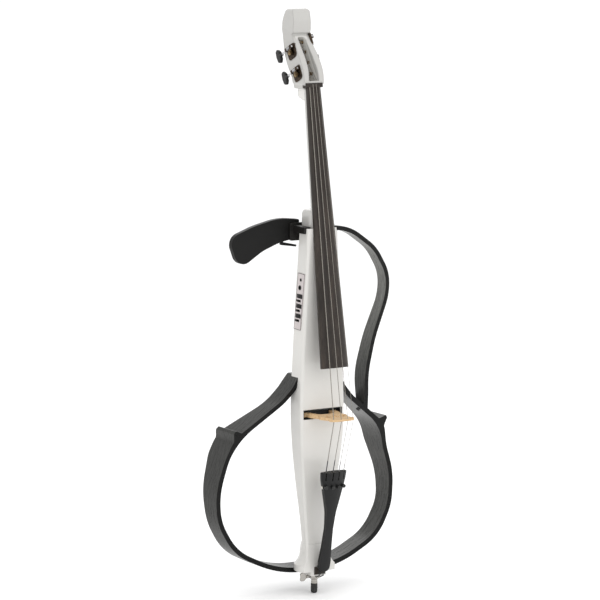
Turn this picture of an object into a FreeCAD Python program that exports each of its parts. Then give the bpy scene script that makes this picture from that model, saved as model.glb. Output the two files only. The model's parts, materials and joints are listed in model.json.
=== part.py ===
import FreeCAD, Part
import math
import os
import re
import Sketcher
from FreeCAD import Placement, Rotation, Vector

# Electric frame cello, in millimetres.  +Z is up, -Y is the front (the strings' side) and
# +X is the treble side.  The origin is the tip of the retracted endpin, on the floor.

doc = FreeCAD.newDocument("frame_cello")

# ---------------------------------------------------------------- driving dimensions
SIZES = {
    # strings, neck and fingerboard
    "string_length": 690, "string_lean": 10.4, "nut_z": 1059.5, "nut_y": 22,
    "gap_nut": 7.7, "gap_bridge": 16, "gap_tail": 14.5,
    "board_length": 580, "board_half_nut": 16.3, "board_half_end": 33,
    "board_side": 5.5, "board_radius": 62, "nut_half": 20.5, "nut_deep": 13, "nut_tall": 6,
    # body, rims and folding arm
    "body_wall": 7, "tongue_z": 41, "slot_z": 385, "slot_half": 48, "slot_tall": 10,
    "slot_floor": -5, "saddle_half": 13,
    "rim_thick": 10, "upper_thick": 9, "rim_bottom": 42, "rim_half": 223,
    "arm_front": 38, "arm_thick": 14, "pivot_x": -36, "pivot_z": 762, "pivot_radius": 5,
    "screw_radius": 2,
    # bridge and tailpiece
    "bridge_z": 383, "bridge_thick": 10, "pickup_half": 47,
    "tail_lean": 10.5, "tail_y": -78, "tail_z": 268, "tail_radius": 55, "tail_thick": 14,
    "pin_rise": -13, "pin_depth": 6.6, "pin_radius": 1.2, "knob_rise": -30,
    "knob_radius": 3.9, "knob_tall": 4.6, "knob_shank": 1.5, "cord_radius": 1.2,
    "cord_half": 5,
    # controls on the bass side
    "side_lean": 2.775, "panel_z": 618.5, "panel_y": 0.2, "panel_slant": 2.6,
    "panel_half_tall": 58.5, "panel_half_wide": 12.5,
    "panel_thick": 1.6, "wheel_radius": 10.5, "wheel_thick": 7.6, "wheel_pitch": 20.5,
    "wheel_top": 11, "wheel_x": 4.9, "axle_radius": 1.5, "switch_top": 1.2,
    "switch_half": 2.1, "board_x": 17, "board_thick": 1.6,
    # tuning machines
    "peg_lean": 28, "peg_y": 24, "peg_z": 1066, "post_radius": 3.5, "post_depth": 14,
    "gear_teeth": 16, "gear_wide": 2.6, "gear_x": 28.5, "worm_pitch": 2.4,
    "worm_radius": 2.6, "worm_rise": 8.8, "shaft_radius": 2, "plate_face": 24.8,
    # endpin
    "rod_radius": 5, "rod_length": 330, "tip_radius": 7, "tip_tall": 21,
    "collar_radius": 13, "collar_z": 33, "clamp_z": 37, "clamp_radius": 2.2,
    # battery bay, and the gap of a running fit
    "door_half": 20, "door_low": 560, "door_high": 640, "hinge_y": 30, "hinge_z": 562,
    "cell_radius": 7.2, "cell_tall": 50.5, "fit": 0.05,
}
sheet = doc.addObject("Spreadsheet::Sheet", "sizes")
for row, (name, number) in enumerate(SIZES.items(), start=1):
    sheet.set("A%d" % row, name)
    sheet.set("B%d" % row, str(number))
    sheet.setAlias("B%d" % row, name)
doc.recompute()


def cell(name):
    """The plain number in a named cell of the sheet."""
    return float(sheet.get(name))


def bound(expression):
    """An expression that names cells plainly, with the sheet's name put before each."""
    def with_sheet(word):
        return "sizes." + word.group() if word.group() in SIZES else word.group()
    return re.sub(r"[a-z]\w*", with_sheet, str(expression))


def value(expression):
    """What an expression over the sheet's cells comes to now."""
    return float(sheet.evalExpression(bound(expression)))


nodes = []


def keep(obj, label, place=None):
    """Give a finished sub-part its own label and its place, and list it for export."""
    obj.Label = label
    if place is not None:
        obj.Placement = place.multiply(obj.Placement)
    nodes.append(obj)
    return obj


X_AXIS, Y_AXIS, Z_AXIS = Vector(1, 0, 0), Vector(0, 1, 0), Vector(0, 0, 1)
STRINGS = ["c", "g", "d", "a"]
STRING_RADIUS = {"c": 0.85, "g": 0.68, "d": 0.52, "a": 0.4}
TWO_SIDES = (1, -1)


# ---------------------------------------------------------------- outlines
def rounded(points, closed=True):
    """Lines and tangent arcs through corners given as (x, y, radius).

    A radius too large for its two sides is cut down to what they leave room for.
    """
    count = len(points)
    stops = []
    for i, (x, y, r) in enumerate(points):
        here = Vector(x, y, 0)
        if r <= 0 or (not closed and i in (0, count - 1)):
            stops.append((here, None, here))
            continue
        reach_limit = math.inf
        ways = []
        for other in (points[i - 1], points[(i + 1) % count]):
            way = Vector(*other[:2], 0) - here
            reach_limit = min(reach_limit, way.Length * (0.56 if other[2] > 0 else 0.98))
            ways.append(way.normalize())
        half = ways[0].getAngle(ways[1]) / 2
        reach = min(r / math.tan(half), reach_limit * 0.88)
        r = reach * math.tan(half)
        middle = (ways[0] + ways[1]).normalize()
        top = here + middle * (r / math.sin(half) - r)
        stops.append((here + ways[0] * reach, top, here + ways[1] * reach))
    pieces = []
    for i, (start, top, end) in enumerate(stops):
        if top is not None:
            pieces.append(Part.Arc(start, top, end))
        if i + 1 < count or closed:
            follow = stops[(i + 1) % count][0]
            if end.distanceToPoint(follow) > 1e-6:
                pieces.append(Part.LineSegment(end, follow))
    return pieces


def offset(points, step, closed=True):
    """The same corners moved sideways by step, to the left of the way they run."""
    count = len(points)
    moved = []
    for i, (x, y, r) in enumerate(points):
        here = Vector(x, y, 0)
        into = here - Vector(*points[i - 1][:2], 0) if closed or i else None
        away = None
        if closed or i + 1 < count:
            away = Vector(*points[(i + 1) % count][:2], 0) - here
        into = into or away
        away = away or into
        into.normalize()
        away.normalize()
        side = Vector(-into.y - away.y, into.x + away.x, 0)
        side.normalize()
        spread = step / (side.x * -into.y + side.y * into.x)
        turn = into.x * away.y - into.y * away.x
        corner = max(r - step, 0.5) if turn > 0 else max(r + step, 0.5)
        moved.append((x + side.x * spread, y + side.y * spread, corner if r > 0 else 0))
    return moved


def mirrored(half):
    """A closed outline from its right half, which runs from one end to the other."""
    return half + [(-x, y, r) for x, y, r in reversed(half) if x > 0]


PLANES = {
    "XY": Placement(),
    "XZ": Placement(Vector(), Rotation(X_AXIS, 90)),
    "YZ": Placement(Vector(), Rotation(0.5, 0.5, 0.5, 0.5)),
}
NORMALS = {"XY": Z_AXIS, "XZ": Y_AXIS, "YZ": X_AXIS}


def face_of(outline):
    return Part.Face(Part.Wire([piece.toShape() for piece in rounded(outline)]))


def prism(plane, outline, low, high, holes=()):
    """A straight prism on a plane's outline, between two levels of the third axis."""
    face = face_of(outline)
    for hole in holes:
        face = face.cut(face_of(hole))
    if face.ShapeType != "Face":
        face = face.Faces[0].copy()
    face.Placement = PLANES[plane]
    face.translate(NORMALS[plane] * low)
    return face.extrude(NORMALS[plane] * (high - low))


def rod(start, end, radius):
    """A round bar from one point to another."""
    way = Vector(*end) - Vector(*start)
    return Part.makeCylinder(radius, way.Length, Vector(*start), way)


def block(x0, x1, y0, y1, z0, z1):
    return Part.makeBox(x1 - x0, y1 - y0, z1 - z0, Vector(x0, y0, z0))


def feature(label, shape, place=None):
    """A free-form sub-part whose shape is worked out here from the sheet's cells."""
    obj = doc.addObject("Part::Feature", label)
    obj.Shape = shape
    return keep(obj, label, place)


def soften(shape, radius, wanted):
    """Round the edges that the test picks, as far as the corner between them allows."""
    edges = [edge for edge in shape.Edges if wanted(edge)]
    for share in (1, 0.6, 0.3):
        try:
            softer = shape.makeFillet(radius * share, edges)
        except Part.OCCError:
            continue
        if softer.isValid() and softer.Solids:
            return softer
    print("left sharp:", len(edges), "edges at", radius)
    return shape


def along(edge, axis, share=0.95):
    """True for an edge whose ends lie along an axis."""
    if len(edge.Vertexes) < 2:
        return False
    way = edge.Vertexes[-1].Point - edge.Vertexes[0].Point
    return way.Length > 1e-6 and abs(way.dot(axis)) / way.Length > share


# ---------------------------------------------------------------- bound primitives and booleans
def bind(obj, at, turn, sizes):
    """Bind an object's place and sizes to expressions over the sheet."""
    obj.Placement = Placement(Vector(), turn)
    for axis, expression in zip("xyz", at):
        obj.setExpression("Placement.Base." + axis, bound(expression))
    for size, expression in sizes.items():
        obj.setExpression(size, bound(expression))
    return obj


def bar(radius, length, at, way=Z_AXIS):
    """A round bar that starts at a point and runs along an axis."""
    obj = doc.addObject("Part::Cylinder", "bar")
    return bind(obj, at, Rotation(Z_AXIS, way), {"Radius": radius, "Height": length})


def brick(x, y, z):
    """A box between a low and a high expression along each axis."""
    obj = doc.addObject("Part::Box", "brick")
    length, width, height = ["(%s) - (%s)" % (high, low) for low, high in (x, y, z)]
    return bind(obj, (x[0], y[0], z[0]), Rotation(),
                {"Length": length, "Width": width, "Height": height})


def ball(radius, at):
    return bind(doc.addObject("Part::Sphere", "ball"), at, Rotation(), {"Radius": radius})


def slab(plane, outline, low, high):
    """A prism on an outline in an origin plane, between two levels of the third axis."""
    sketch = doc.addObject("Sketcher::SketchObject", "outline")
    for piece in rounded(outline):
        sketch.addGeometry(piece, False)
    rise = {"XY": (0, 0, low), "XZ": (0, low, 0), "YZ": (low, 0, 0)}[plane]
    bind(sketch, rise, PLANES[plane].Rotation, {})
    made = doc.addObject("Part::Extrusion", "slab")
    made.Base = sketch
    made.DirMode = "Custom"
    made.Dir = {"XY": Z_AXIS, "XZ": Y_AXIS, "YZ": X_AXIS}[plane]
    made.Solid = True
    made.setExpression("LengthFwd", bound("(%s) - (%s)" % (high, low)))
    return made


def joined(pieces):
    made = doc.addObject("Part::MultiFuse", "joined")
    made.Shapes = pieces
    return made


def carved(base, tools):
    """The base with each tool cut away in turn."""
    for tool in tools:
        made = doc.addObject("Part::Cut", "carved")
        made.Base = base
        made.Tool = tool
        base = made
    return base


def group(pieces):
    """Separate solids that count as one sub-part."""
    made = doc.addObject("Part::Compound", "group")
    made.Links = pieces
    return made


def smoothed(base, radius, wanted):
    """Round the edges of an object that the test picks."""
    doc.recompute()
    chosen = [i for i, edge in enumerate(base.Shape.Edges, start=1) if wanted(edge)]
    made = doc.addObject("Part::Fillet", "smoothed")
    made.Base = base
    made.Edges = [(i, value(radius), value(radius)) for i in chosen]
    return made


# ---------------------------------------------------------------- bodies made from sketches
def new_body(label, place=None):
    return keep(doc.addObject("PartDesign::Body", label), label, place)


def add_outline(sketch, corners):
    """A closed outline of lines and arcs, joined end to end."""
    first = sketch.GeometryCount
    for piece in rounded(corners):
        sketch.addGeometry(piece, False)
    count = sketch.GeometryCount - first
    ends = [(a, b) for a in (2, 1) for b in (1, 2)]
    for i in range(count):
        one, other = first + i, first + (i + 1) % count
        a, b = min(ends, key=lambda pair: sketch.getPoint(one, pair[0]).distanceToPoint(
            sketch.getPoint(other, pair[1])))
        sketch.addConstraint(Sketcher.Constraint("Coincident", one, a, other, b))


def add_circle(sketch, x, y, radius):
    """A circle whose centre and radius are bound to the sheet."""
    centre = Vector(value(x), value(y), 0)
    i = sketch.addGeometry(Part.Circle(centre, Z_AXIS, value(radius)), False)
    for kind, expression in (("DistanceX", x), ("DistanceY", y)):
        n = sketch.addConstraint(Sketcher.Constraint(kind, i, 3, value(expression)))
        sketch.setExpression("Constraints[%d]" % n, bound(expression))
    n = sketch.addConstraint(Sketcher.Constraint("Radius", i, value(radius)))
    sketch.setExpression("Constraints[%d]" % n, bound(radius))


def add_rectangle(sketch, low_x, high_x, low_y, high_y):
    """A rectangle whose four sides are bound to the sheet."""
    x0, x1, y0, y1 = (value(e) for e in (low_x, high_x, low_y, high_y))
    corners = [Vector(x0, y0, 0), Vector(x1, y0, 0), Vector(x1, y1, 0), Vector(x0, y1, 0)]
    first = sketch.GeometryCount
    for i in range(4):
        sketch.addGeometry(Part.LineSegment(corners[i], corners[(i + 1) % 4]), False)
    for i in range(4):
        sketch.addConstraint(Sketcher.Constraint("Coincident", first + i, 2,
                                                 first + (i + 1) % 4, 1))
        level = "Horizontal" if i % 2 == 0 else "Vertical"
        sketch.addConstraint(Sketcher.Constraint(level, first + i))
    bounds = (("DistanceX", 0, low_x), ("DistanceY", 0, low_y),
              ("DistanceX", 2, high_x), ("DistanceY", 2, high_y))
    for kind, line, expression in bounds:
        n = sketch.addConstraint(Sketcher.Constraint(kind, first + line, 1, value(expression)))
        sketch.setExpression("Constraints[%d]" % n, bound(expression))


def draw(body, plane, shapes, rise="0"):
    """A sketch on one of the body's own origin planes, lifted by an expression.

    Each shape is a list of corners, or (add_circle or add_rectangle, its sizes).
    """
    sketch = body.newObject("Sketcher::SketchObject", "outline")
    role = plane + "_Plane"
    base = [f for f in body.Origin.OriginFeatures if f.Role == role][0]
    sketch.AttachmentSupport = [(base, "")]
    sketch.MapMode = "FlatFace"
    for shape in shapes:
        if isinstance(shape, list):
            add_outline(sketch, shape)
        else:
            shape[0](sketch, *shape[1:])
    sketch.setExpression("AttachmentOffset.Base.z", bound(rise))
    return sketch


def sweep(kind, body, sketch, length, back=False, both=False):
    """A pad or pocket of a sketch; back sends it against the plane's own direction."""
    made = body.newObject("PartDesign::" + kind, kind.lower())
    made.Profile = sketch
    made.setExpression("Length", bound(length))
    made.Midplane = both
    made.Reversed = back
    return made


def ring_of(body, feature, sketch, count):
    """The feature repeated round the normal through its sketch's origin."""
    made = body.newObject("PartDesign::PolarPattern", "ring")
    made.Originals = [feature]
    made.Axis = (sketch, ["N_Axis"])
    made.Angle = 360
    made.setExpression("Occurrences", bound(count))
    body.Tip = made
    return made


def round_off(body, radius, wanted):
    """Round the picked edges of a body so far, as much as the corners between them allow."""
    doc.recompute()
    last = body.Tip
    edges = ["Edge%d" % i for i, edge in enumerate(last.Shape.Edges, start=1)
             if wanted(edge)]
    made = body.newObject("PartDesign::Fillet", "rounding")
    made.Base = (last, edges)
    for share in (1, 0.7, 0.45, 0.25):
        made.setExpression("Radius", bound("(%s) * %s" % (radius, share)))
        doc.recompute()
        if "Invalid" not in made.State and made.Shape.isValid():
            return made
    raise RuntimeError(body.Label + " cannot be rounded")


# the neck's own frame: +Z runs up the strings, +Y runs back from them, origin at the nut
neck_frame = Placement(Vector(0, cell("nut_y"), cell("nut_z")),
                       Rotation(X_AXIS, -cell("string_lean")))
# the pegbox's own frame: +Z runs up the pegbox, +Y runs back from its open front
peg_frame = Placement(Vector(0, cell("peg_y"), cell("peg_z")),
                      Rotation(X_AXIS, -cell("peg_lean")))
# the tailpiece's own frame: +Z runs up it, +Y runs back, origin at its upper edge
tail_frame = Placement(Vector(0, cell("tail_y"), cell("tail_z")),
                       Rotation(X_AXIS, cell("tail_lean")))


# ---------------------------------------------------------------- body
# level, half width, front, back corner of the side, back, half width of the back
BODY_LEVELS = [
    (770, 37, -17, 14, 32, 26), (600, 45.3, -21, 17, 32, 34), (409, 54.5, -24, 14.5, 31, 44),
    (330, 53, -24, 12, 29, 42), (250, 44.5, -19, 11, 25, 34), (163, 35, -14, 5, 17, 25),
    (100, 29, -14, 3, 15, 21), (52, 27, -18, 4, 15, 20),
]
BODY_STEPS = 26
CHAMBER = (268, 700)


def body_corners(level):
    """The body's sizes at any level: a smooth curve through the listed ones."""
    count = len(BODY_LEVELS)
    i = max(n for n in range(count - 1) if BODY_LEVELS[n][0] >= level - 1e-6)
    above, below = BODY_LEVELS[i], BODY_LEVELS[i + 1]
    before, after = BODY_LEVELS[max(i - 1, 0)], BODY_LEVELS[min(i + 2, count - 1)]
    span = below[0] - above[0]
    t = (level - above[0]) / span
    sizes = []
    for k in range(1, len(above)):
        start = (below[k] - before[k]) / (below[0] - before[0]) * span
        end = (after[k] - above[k]) / (after[0] - above[0]) * span
        sizes.append((1 + 2 * t) * (1 - t) ** 2 * above[k] + t * (1 - t) ** 2 * start
                     + t * t * (3 - 2 * t) * below[k] + t * t * (t - 1) * end)
    return sizes


def body_section(level, inset=0.0):
    """One flat section of the body: rounded front corners and chamfered back corners."""
    half, front, side, back, back_half = body_corners(level)
    half, back_half = half - inset, back_half - inset * 0.6
    front, side, back = front + inset, side - inset * 0.3, back - inset
    r = max(6 - inset, 2)
    corners = [(-half, front, r), (half, front, r), (half, side, 3), (back_half, back, 3),
               (-back_half, back, 3), (-half, side, 3)]
    wire = Part.Wire([piece.toShape() for piece in rounded(corners)])
    wire.translate(Vector(0, 0, level))
    return wire


def body_outer():
    top, low = BODY_LEVELS[0][0], BODY_LEVELS[-1][0]
    levels = [top + (low - top) * n / BODY_STEPS for n in range(BODY_STEPS + 1)]
    return Part.makeLoft([body_section(z) for z in levels], True, True)


def body_hollow():
    """The chamber inside the walls, from above the endpin block to below the neck block."""
    low, high = CHAMBER
    levels = [low + (high - low) * n / 8 for n in range(9)]
    return Part.makeLoft([body_section(z, cell("body_wall")) for z in levels], True, True)


def foot():
    """The round flared foot on the rim, with the tongue that comes down in front of it."""
    low, wide, top = 50, 43, 108
    start, lip = Vector(wide, 0, low), Vector(wide, 0, 64)
    waist, end = Vector(31.6, 0, 92), Vector(29, 0, top)
    edges = [Part.LineSegment(Vector(0, 0, low), start).toShape(),
             Part.LineSegment(start, lip).toShape(),
             Part.Arc(lip, Vector(34.4, 0, 76), waist).toShape(),
             Part.LineSegment(waist, end).toShape(),
             Part.LineSegment(end, Vector(0, 0, top)).toShape(),
             Part.LineSegment(Vector(0, 0, top), Vector(0, 0, low)).toShape()]
    flare = Part.Face(Part.Wire(edges)).revolve(Vector(), Z_AXIS, 360)
    front = [(-19, 40, 0), (-19, 52, 0), (-14.4, 112, 0), (50, 112, 0), (50, 40, 0)]
    flare = flare.common(prism("YZ", front, -50, 50))
    corners = [(-19, -19, 6), (19, -19, 6), (19, 21, 6), (-19, 21, 6)]
    return flare.fuse(prism("XY", corners, cell("tongue_z"), 60))


# ---------------------------------------------------------------- rims
def lower_outer():
    """The pear-shaped outline of the lower loop, seen from the front."""
    half = cell("rim_half")
    low = cell("rim_bottom")
    return mirrored([(72, low, 300), (182, low + 54, 140), (half - 4, 163, 110),
                     (half, 228, 170), (187, 341, 60), (88, 414, 120), (66, 438, 60),
                     (50, 466, 4)])


HORN = [(140, 373, 0), (168, 351, 12), (188, 358.5, 1.5), (191.5, 352, 2), (187, 334, 24),
        (202, 292, 0), (183, 330, 0)]
RIM_FRONT = [(-17, 780, 0), (-9, 440, 300), (34, 290, 100), (34, 190, 300), (22, 30, 0)]
LOWER_BACK = [(74, 30, 0), (78, 170, 300), (102, 300, 45), (88, 350, 40), (50, 400, 40),
              (42, 444, 40), (30, 480, 0)]
INNER_BEND = 125
UPPER_OUTER = [(30, 773, 0), (66, 771, 120), (135, 724, 110), (170, 668, 90),
               (171, 620, 200), (139, 532, 300), (123, 455, 150), (137, 372, 0)]
UPPER_DEPTH = [(-17, 780, 0), (-9, 440, 300), (22, 330, 0), (42, 330, 0), (31, 450, 300),
               (18, 600, 300), (12, 780, 0)]


def lower_rim_shape():
    """The pear-shaped loop with its two horns, between the front and back curves."""
    outer = lower_outer()
    inner = [(x, z, INNER_BEND if 300 < z < 400 else r)
             for x, z, r in offset(outer, cell("rim_thick"))]
    loop = prism("XZ", outer, -30, 120, [inner])
    for side in TWO_SIDES:
        loop = loop.fuse(prism("XZ", [(side * x, z, r) for x, z, r in HORN], -30, 120))
    loop = loop.removeSplitter()
    return loop.common(prism("YZ", RIM_FRONT + LOWER_BACK, -240, 240))


def upper_rim_shape():
    """The strip round the upper bout and the waist on the treble side, down to the horn."""
    inner = offset(UPPER_OUTER, -cell("upper_thick"), closed=False)
    strip = prism("XZ", UPPER_OUTER + inner[::-1], -30, 110)
    solid = strip.common(prism("YZ", UPPER_DEPTH, -240, 240))
    inside = prism("XZ", lower_outer(), -30, 110)
    return solid.cut(inside).cut(prism("XZ", HORN, -30, 110))


# ---------------------------------------------------------------- neck and head
NUT_LOW = -3


def board_height(level, x):
    """Depth of the fingerboard's playing surface behind the string plane."""
    share = -level / cell("board_length")
    radius = cell("board_radius")
    return 1 + 5 * share + radius - math.sqrt(radius ** 2 - x ** 2)


def board_half(level):
    share = -level / cell("board_length")
    return cell("board_half_nut") + share * (cell("board_half_end") - cell("board_half_nut"))


def board_under(level):
    """Depth of the flat underside, which runs straight from the nut to the far end."""
    near_end, far_end = NUT_LOW, -cell("board_length")
    near_depth, far_depth = (board_height(z, board_half(z)) + cell("board_side")
                             for z in (near_end, far_end))
    share = (level - near_end) / (far_end - near_end)
    return near_depth + share * (far_depth - near_depth)


def board_section(level):
    half = board_half(level)
    edge, under = board_height(level, half), board_under(level)
    left, right = Vector(-half, edge, level), Vector(half, edge, level)
    arc = Part.Arc(left, Vector(0, board_height(level, 0), level), right)
    low_right, low_left = Vector(half, under, level), Vector(-half, under, level)
    lines = [Part.LineSegment(a, b) for a, b in
             ((right, low_right), (low_right, low_left), (low_left, left))]
    return Part.Wire([piece.toShape() for piece in [arc] + lines])


def board_shape():
    """The fingerboard, hollowed underneath beyond the neck."""
    length = cell("board_length")
    solid = Part.makeLoft([board_section(NUT_LOW), board_section(-length)], True, True)
    middle = -length / 2
    scoop = rod((0, board_under(middle) + 34, middle),
                (0, board_under(-length) + 34, -length - 20), 40)
    return solid.cut(scoop)


def neck_section(level, depth):
    """A D-shaped section of the neck: flat under the board, round behind."""
    half, front = board_half(level), board_under(level)
    left, right = Vector(-half, front, level), Vector(half, front, level)
    arc = Part.Arc(right, Vector(0, front + depth, level), left)
    return Part.Wire([Part.LineSegment(left, right).toShape(), arc.toShape()])


HEAD_SIDE = [(31.5, 1034, 0), (31.5, 1056, 0), (24, 1058, 0), (23, 1085, 60), (44, 1118, 80), (79, 1162, 2),
             (71.5, 1166, 2), (70, 1190, 30), (76, 1215, 9), (99, 1214, 14), (112, 1190, 25),
             (112, 1160, 40), (100, 1126, 60), (88, 1100, 40), (69, 1074, 12),
             (66, 1061, 1.5), (68, 1060, 0.8), (68, 1053, 0.8), (64, 1052, 0.8),
             (67, 1036, 9), (46, 1028, 6), (38, 1030, 0)]
HEAD_FRONT = [(11, 1020, 5), (12, 1051.5, 0), (19, 1052, 1), (20, 1059, 1), (24, 1064, 3),
              (24, 1118, 90), (20, 1160, 20), (22, 1172, 12), (21, 1190, 60), (21, 1215, 8)]
PEG_OPENING = [(12.6, 3, 2), (12.2, 12, 20), (10, 45, 60), (8.5, 104, 5)]


def is_hood_corner(edge):
    """True for the long upright edges of the hood above the pegbox."""
    ends = edge.Vertexes
    return all(v.Z > 1166 and abs(v.X) > 15 for v in ends) and not along(edge, X_AXIS)


def neck_head_shape(board):
    """The neck behind the fingerboard, with its heel, and the head with its open pegbox."""
    sections = [neck_section(z, d) for z, d in ((NUT_LOW, 18), (-60, 19), (-240, 21),
                                                (-300, 22))]
    neck = Part.makeLoft(sections, True, True)
    neck = neck.transformGeometry(neck_frame.toMatrix())
    heel = block(-27, 27, -13, 31.5, 770, 808)
    heel = soften(heel, 13, lambda e: along(e, Z_AXIS))
    heel = soften(heel, 12, lambda e: all(v.Z > 807 for v in e.Vertexes)).cut(board)
    head = prism("YZ", HEAD_SIDE, -30, 30).common(prism("XZ", mirrored(HEAD_FRONT), 0, 140))
    head = soften(head, 5, is_hood_corner)
    opening = prism("XZ", mirrored(PEG_OPENING), -30, 30)
    opening.Placement = peg_frame.multiply(opening.Placement)
    return neck.fuse([heel, head]).cut(opening)


# ---------------------------------------------------------------- strings
# places across the instrument and the machine that each string runs to:
# (side of the pegbox, height of its post up the pegbox)
POSTS = {"c": (-1, 26), "g": (-1, 75), "d": (1, 97), "a": (1, 51)}


def string_place(name):
    """How many gaps a string lies from the middle."""
    return STRINGS.index(name) - 1.5


def string_depth(x, level):
    """Depth of a string's centre behind the string plane, at the nut or at the bridge."""
    radius = 62 if level == 0 else 65
    return radius - math.sqrt(radius ** 2 - x ** 2) - (0.6 if level == 0 else 2.3)


def tail_front(name):
    """The depth of the arched tailpiece's front under a string, as an expression."""
    return "(tail_radius - sqrt(tail_radius ^ 2 - (%s * gap_tail) ^ 2))" % string_place(name)


def string_points(name):
    """Post, nut, bridge and tailpiece ends of one string's centre line, in the object."""
    place = string_place(name)
    nut_x, bridge_x, tail_x = (place * cell(k) for k in ("gap_nut", "gap_bridge", "gap_tail"))
    gap = cell("post_radius") + STRING_RADIUS[name] + 0.35
    post = peg_frame.multVec(Vector(nut_x * 0.45, cell("post_depth") - gap, POSTS[name][1]))
    nut = neck_frame.multVec(Vector(nut_x, string_depth(nut_x, 0), 2))
    low = -cell("string_length")
    bridge = neck_frame.multVec(Vector(bridge_x, string_depth(bridge_x, low), low))
    tail = tail_frame.multVec(Vector(tail_x, value(tail_front(name)) + 3.6, -7.5))
    return post, nut, bridge, tail


def cord(points, radius):
    """A round cord along straight runs, mitred where they meet."""
    way = points[1] - points[0]
    ring = Part.Wire(Part.makeCircle(radius, points[0], way))
    return Part.makePolygon(points).makePipeShell([ring], True, False, 1)


# ---------------------------------------------------------------- tuning machines
WORM_TURNS = 5


def for_side(shape, side):
    """The treble machine as it is, or its mirror image for the bass side."""
    return shape if side > 0 else shape.mirror(Vector(), X_AXIS)


def machine_place(name):
    return peg_frame.multiply(Placement(Vector(0, 0, POSTS[name][1]), Rotation()))


def add_tooth(sketch):
    """One tooth seen along the gear's axis, pointing along the sketch's first direction."""
    pitch_radius = value("gear_teeth * worm_pitch / (2 * pi)")
    corners = []
    for step, half in ((-1.2, 0.72), (0, 0.4), (0.7, 0.22)):
        corners.append((pitch_radius + step, half))
    add_outline(sketch, [(r, -w, 0) for r, w in corners]
                + [(r, w, 0) for r, w in reversed(corners)])


def gear(name):
    """A wheel with straight teeth, one of them pointing at the worm."""
    side = POSTS[name][0]
    spot = Placement(Vector(side * cell("gear_x"), cell("post_depth"), 0),
                     Rotation(Y_AXIS, -90))
    body = new_body("tuner_gear_" + name, machine_place(name).multiply(spot))
    hub = draw(body, "XY", [(add_circle, "0", "0", "gear_teeth * worm_pitch / (2 * pi) - 0.9")])
    sweep("Pad", body, hub, "gear_wide", both=True)
    tooth = draw(body, "XY", [(add_tooth,)])
    one = sweep("Pad", body, tooth, "gear_wide", both=True)
    ring_of(body, one, tooth, "gear_teeth")
    seat = draw(body, "XY", [(add_circle, "0", "0", "post_radius - 1")])
    sweep("Pocket", body, seat, "4 * gear_wide", both=True)


def worm_shape():
    """A worm on its shaft, which runs back through both lugs to the button."""
    pitch, radius = cell("worm_pitch"), cell("worm_radius")
    length = WORM_TURNS * pitch
    root = radius - 0.9
    profile = [(root - 0.3, 0.72), (radius, 0.4), (radius + 0.7, 0.22)]
    corners = [(r, -w) for r, w in profile] + [(r, w) for r, w in reversed(profile)]
    ring = Part.makePolygon([Vector(x, 0, z) for x, z in corners + corners[:1]])
    helix = Part.makeHelix(pitch, length, radius)
    thread = Part.Wire(helix.Edges).makePipeShell([ring], True, True)
    thread.translate(Vector(0, 0, -length / 2))
    core = Part.makeCylinder(root, length + 3, Vector(0, 0, -length / 2 - 1.5))
    shaft = cell("shaft_radius")
    front_end = Part.makeCylinder(shaft, 4.6, Vector(0, 0, -length / 2 - 6))
    back_end = Part.makeCylinder(shaft, 38 - length / 2, Vector(0, 0, length / 2 + 1.4))
    worm = core.fuse([thread, front_end, back_end])
    worm.Placement = Placement(Vector(cell("gear_x"), cell("post_depth"), cell("worm_rise")),
                               Rotation(-Z_AXIS, -X_AXIS, Y_AXIS, "ZXY"))
    return worm


def post(name):
    """The round post across the pegbox, with the gear's seat and screw head at its end."""
    side = POSTS[name][0]
    way = X_AXIS * side

    def piece(radius, start, length):
        return bar(radius, length, ("%d * (%s)" % (side, start), "post_depth", "0"), way)
    pieces = [piece("post_radius", "-19.5", "19.5 + gear_x - gear_wide / 2"),
              piece("post_radius - 1", "20", "gear_x + gear_wide / 2 - 20"),
              piece("3.3", "gear_x + gear_wide / 2", "1.6")]
    keep(joined(pieces), "tuner_post_" + name, machine_place(name))


def button(name):
    """A butterfly button on the end of the worm's shaft."""
    side = POSTS[name][0]
    spot = Placement(Vector(side * cell("gear_x"), cell("post_depth") + 31,
                            cell("worm_rise")), Rotation())
    body = new_body("tuner_button_" + name, machine_place(name).multiply(spot))
    wing = [(1.5, 8.2, 2), (7.5, 15.5, 4), (14.5, 12, 4), (16.5, 0, 12)]
    outline = wing + [(y, -z, r) for y, z, r in reversed(wing[:3])]
    sweep("Pad", body, draw(body, "YZ", [outline]), "7.2", both=True)
    round_off(body, "2", lambda e: not along(e, X_AXIS, 0.9))
    neck = draw(body, "XZ", [(add_circle, "0", "0", "3.6")], "3")
    sweep("Pad", body, neck, "8", back=True)
    bore = draw(body, "XZ", [(add_circle, "0", "0", "shaft_radius")], "4")
    sweep("Pocket", body, bore, "12.4")


def plate(name):
    """A machine's plate on the cheek, with two lugs that carry the worm's shaft."""
    side = POSTS[name][0]

    def across(low, high):
        return (low, high) if side > 0 else ("-(%s)" % high, "-(%s)" % low)
    outline = [(-1, -14, 7), (29, -14, 7), (29, 16, 4), (-1, 16, 4)]
    pieces = [slab("YZ", outline, *across("20", "plate_face"))]
    for y in (2.8, 21.2):
        pieces.append(brick(across("plate_face", "32"), (y, y + 4), ("5.2", "12.4")))
    way = X_AXIS * side
    shaft = bar("shaft_radius + fit", "45", ("%d * gear_x" % side, "-5", "worm_rise"), Y_AXIS)
    bore = bar("post_radius + fit", "40", ("0", "post_depth", "0"), way)
    made = carved(joined(pieces), [shaft, bore])
    made.Placement = machine_place(name)
    return made


def tuning_machines():
    worm = worm_shape()
    for name in STRINGS:
        post(name)
        gear(name)
        feature("tuner_worm_" + name, for_side(worm, POSTS[name][0]), machine_place(name))
        button(name)
    keep(group([plate(name) for name in STRINGS]), "tuner_plates")


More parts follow.
